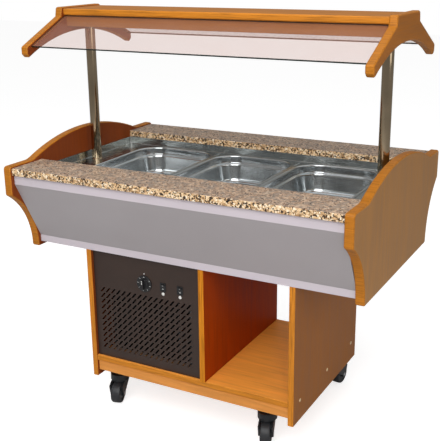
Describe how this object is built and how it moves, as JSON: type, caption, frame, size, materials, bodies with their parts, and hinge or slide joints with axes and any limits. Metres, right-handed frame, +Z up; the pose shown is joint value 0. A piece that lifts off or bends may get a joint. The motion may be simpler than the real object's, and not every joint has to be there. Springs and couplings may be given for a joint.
{
  "type": "mobile salad bar",
  "caption": "Mobile refrigerated salad bar with shaped wooden ends, stone counter, lift-out steel pans, glazed canopy on posts and a grilled base on swivel castors.",
  "frame": {"origin": "on the floor under the middle of the bar", "axes": "+X along the bar to the right seen from the front, front faces -Y, +Z up"},
  "size_m": [1.22, 0.86, 1.378],
  "materials": {
    "panel_wood": "satin lacquer",
    "plywood": "raw",
    "stone": "polished",
    "grey_laminate": "satin",
    "trim": "satin",
    "stainless": "brushed",
    "pan_steel": "polished",
    "chromed_tube": "polished",
    "foam": "matte",
    "zinc_sheet": "satin",
    "zinc_plate": "bright zinc",
    "tinted_glass": "clear",
    "white_paint": "gloss",
    "white_plastic": "satin",
    "lamp_glass": "opal",
    "brown_paint": "satin",
    "black_paint": "satin",
    "black_plastic": "satin",
    "pilot_lens": "translucent",
    "fin_aluminium": "satin",
    "castor_plastic": "satin",
    "wheel_rubber": "matte"
  },
  "bodies": {
    "bar": {"left_end_panel": "panel_wood", "right_end_panel": "panel_wood", "front_stone": "stone", "rear_stone": "stone", "counter_boards": "plywood", "fascias": "grey_laminate", "top_trims": "trim", "foot_trims": "trim", "carcass_floor": "plywood", "well_liner": "stainless", "well_insulation": "foam", "well_casing": "zinc_sheet", "pan_bars": "stainless", "left_post": "chromed_tube", "right_post": "chromed_tube", "left_bracket": "panel_wood", "right_bracket": "panel_wood", "glass_panes": "tinted_glass", "canopy_board": "panel_wood", "lamp_rails": "panel_wood", "lamp_batten": "white_paint", "lamp_holders": "white_plastic", "lamp_tube": "lamp_glass", "base_left_panel": "panel_wood", "base_right_panel": "panel_wood", "base_partition": "panel_wood", "cabinet_floor": "panel_wood", "plinths": "panel_wood", "screw_caps": "white_plastic", "front_grille": "brown_paint", "rear_grille": "brown_paint", "thermostat": "black_plastic", "switch_housings": "black_plastic", "pilot_lamps": "pilot_lens", "set_tray": "zinc_sheet", "condenser": "fin_aluminium", "fan_shroud": "black_paint", "fan_motor": "black_paint", "compressor": "black_paint", "stem_sockets": "zinc_plate"},
    "fork_front_left": {"castor_fork_front_left": "castor_plastic", "castor_pins_front_left": "zinc_plate"},
    "wheel_front_left": {"castor_wheel_front_left": "wheel_rubber"},
    "fork_front_right": {"castor_fork_front_right": "castor_plastic", "castor_pins_front_right": "zinc_plate"},
    "wheel_front_right": {"castor_wheel_front_right": "wheel_rubber"},
    "fork_rear_right": {"castor_fork_rear_right": "castor_plastic", "castor_pins_rear_right": "zinc_plate"},
    "wheel_rear_right": {"castor_wheel_rear_right": "wheel_rubber"},
    "fork_rear_left": {"castor_fork_rear_left": "castor_plastic", "castor_pins_rear_left": "zinc_plate"},
    "wheel_rear_left": {"castor_wheel_rear_left": "wheel_rubber"},
    "knob": {"thermostat_knob": "black_plastic"},
    "power_switch": {"power_rocker": "black_plastic"},
    "light_switch": {"light_rocker": "black_plastic"},
    "fan": {"condenser_fan": "fin_aluminium"},
    "left_pan": {"left_pan": "pan_steel"},
    "middle_pan": {"middle_pan": "pan_steel"},
    "right_pan": {"right_pan": "pan_steel"}
  },
  "joints": [
    {"name": "swivel_front_left", "type": "hinge", "parent": "bar", "child": "fork_front_left", "pos_m": [-0.33, -0.224, 0.103], "axis": [0, 0, 1], "continuous": true},
    {"name": "roll_front_left", "type": "hinge", "parent": "fork_front_left", "child": "wheel_front_left", "pos_m": [-0.32123, -0.25269, 0.0375], "axis": [0.9563, 0.2924, 0], "continuous": true},
    {"name": "swivel_front_right", "type": "hinge", "parent": "bar", "child": "fork_front_right", "pos_m": [0.262, -0.224, 0.103], "axis": [0, 0, 1], "continuous": true},
    {"name": "roll_front_right", "type": "hinge", "parent": "fork_front_right", "child": "wheel_front_right", "pos_m": [0.27077, -0.25269, 0.0375], "axis": [0.9563, 0.2924, 0], "continuous": true},
    {"name": "swivel_rear_right", "type": "hinge", "parent": "bar", "child": "fork_rear_right", "pos_m": [0.33, 0.2217, 0.103], "axis": [0, 0, 1], "continuous": true},
    {"name": "roll_rear_right", "type": "hinge", "parent": "fork_rear_right", "child": "wheel_rear_right", "pos_m": [0.33314, 0.25154, 0.0375], "axis": [-0.9945, 0.1045, 0], "continuous": true},
    {"name": "swivel_rear_left", "type": "hinge", "parent": "bar", "child": "fork_rear_left", "pos_m": [-0.262, 0.2217, 0.103], "axis": [0, 0, 1], "continuous": true},
    {"name": "roll_rear_left", "type": "hinge", "parent": "fork_rear_left", "child": "wheel_rear_left", "pos_m": [-0.25886, 0.25154, 0.0375], "axis": [-0.9945, 0.1045, 0], "continuous": true},
    {"name": "thermostat_turn", "type": "hinge", "parent": "bar", "child": "knob", "pos_m": [-0.162, -0.3, 0.501], "axis": [0, 1, 0], "range_deg": [0, 300]},
    {"name": "power_rock", "type": "hinge", "parent": "bar", "child": "power_switch", "pos_m": [-0.089, -0.29, 0.501], "axis": [1, 0, 0], "range_deg": [-16, 0]},
    {"name": "light_rock", "type": "hinge", "parent": "bar", "child": "light_switch", "pos_m": [-0.024, -0.29, 0.501], "axis": [1, 0, 0], "range_deg": [-16, 0]},
    {"name": "fan_spin", "type": "hinge", "parent": "bar", "child": "fan", "pos_m": [-0.2, -0.163, 0.319], "axis": [0, -1, 0], "continuous": true},
    {"name": "left_pan_lift", "type": "slide", "parent": "bar", "child": "left_pan", "axis": [0, 0, 1], "range_m": [0, 0.2]},
    {"name": "middle_pan_lift", "type": "slide", "parent": "bar", "child": "middle_pan", "axis": [0, 0, 1], "range_m": [0, 0.2]},
    {"name": "right_pan_lift", "type": "slide", "parent": "bar", "child": "right_pan", "axis": [0, 0, 1], "range_m": [0, 0.2]}
  ]
}
